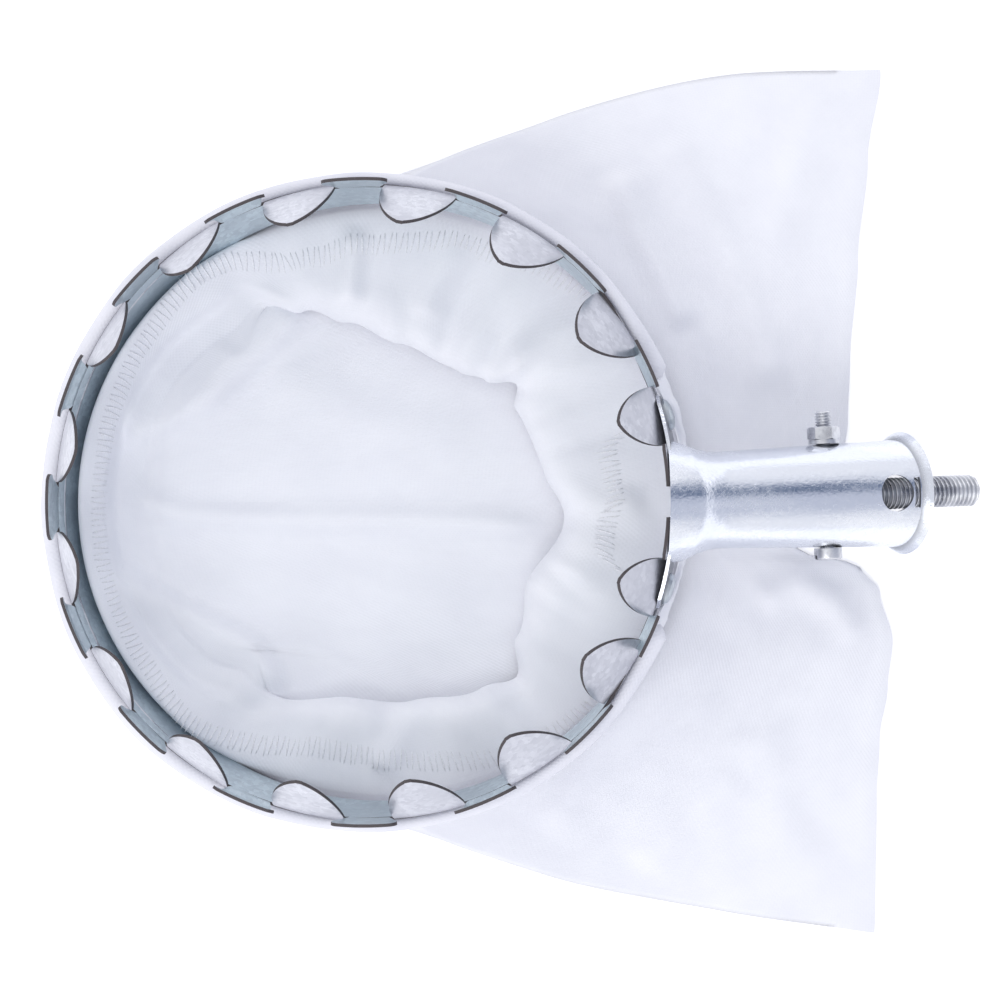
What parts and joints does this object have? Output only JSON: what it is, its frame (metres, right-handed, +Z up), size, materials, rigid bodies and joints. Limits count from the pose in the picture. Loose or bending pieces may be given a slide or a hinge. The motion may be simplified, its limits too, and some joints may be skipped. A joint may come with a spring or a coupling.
{
  "type": "fruit picker head",
  "caption": "Crowned steel ring with inward-bent picking fingers, a cloth catch bag on its rim and a sloping pole socket with a swinging threaded stud.",
  "frame": {"origin": "centre of the bounding box, on the ground under the bag", "axes": "+Z up with the head lying on its bag, +X from the ring towards the socket's mouth and the bag's closed end, +Y to the left seen from behind the ring"},
  "size_m": [0.2338, 0.2228, 0.0598],
  "materials": {
    "zinc": "spangled galvanised sheet",
    "zinc_socket": "galvanised sheet, soft satin",
    "steel_bright": "bright zinc plate",
    "cloth": "fine white woven cloth",
    "cloth_hem": "folded and overlocked white cloth"
  },
  "bodies": {
    "head": {"ring_band": "zinc", "pole_socket": "zinc_socket", "rivet_upper": "zinc_socket", "rivet_lower": "zinc_socket", "cross_bolt": "steel_bright", "lock_washer": "steel_bright", "cross_nut": "steel_bright", "bag": "cloth", "bag_hem": "cloth_hem", "bag_hoop": "steel_bright"},
    "stud": {"eye_stud": "steel_bright"}
  },
  "joints": [
    {"name": "stud_swing", "type": "hinge", "parent": "head", "child": "stud", "pos_m": [0.07562, 0.00138, 0.02356], "axis": [-0.0378, 0.9993, -0.0067], "range_deg": [-20, 20]}
  ]
}
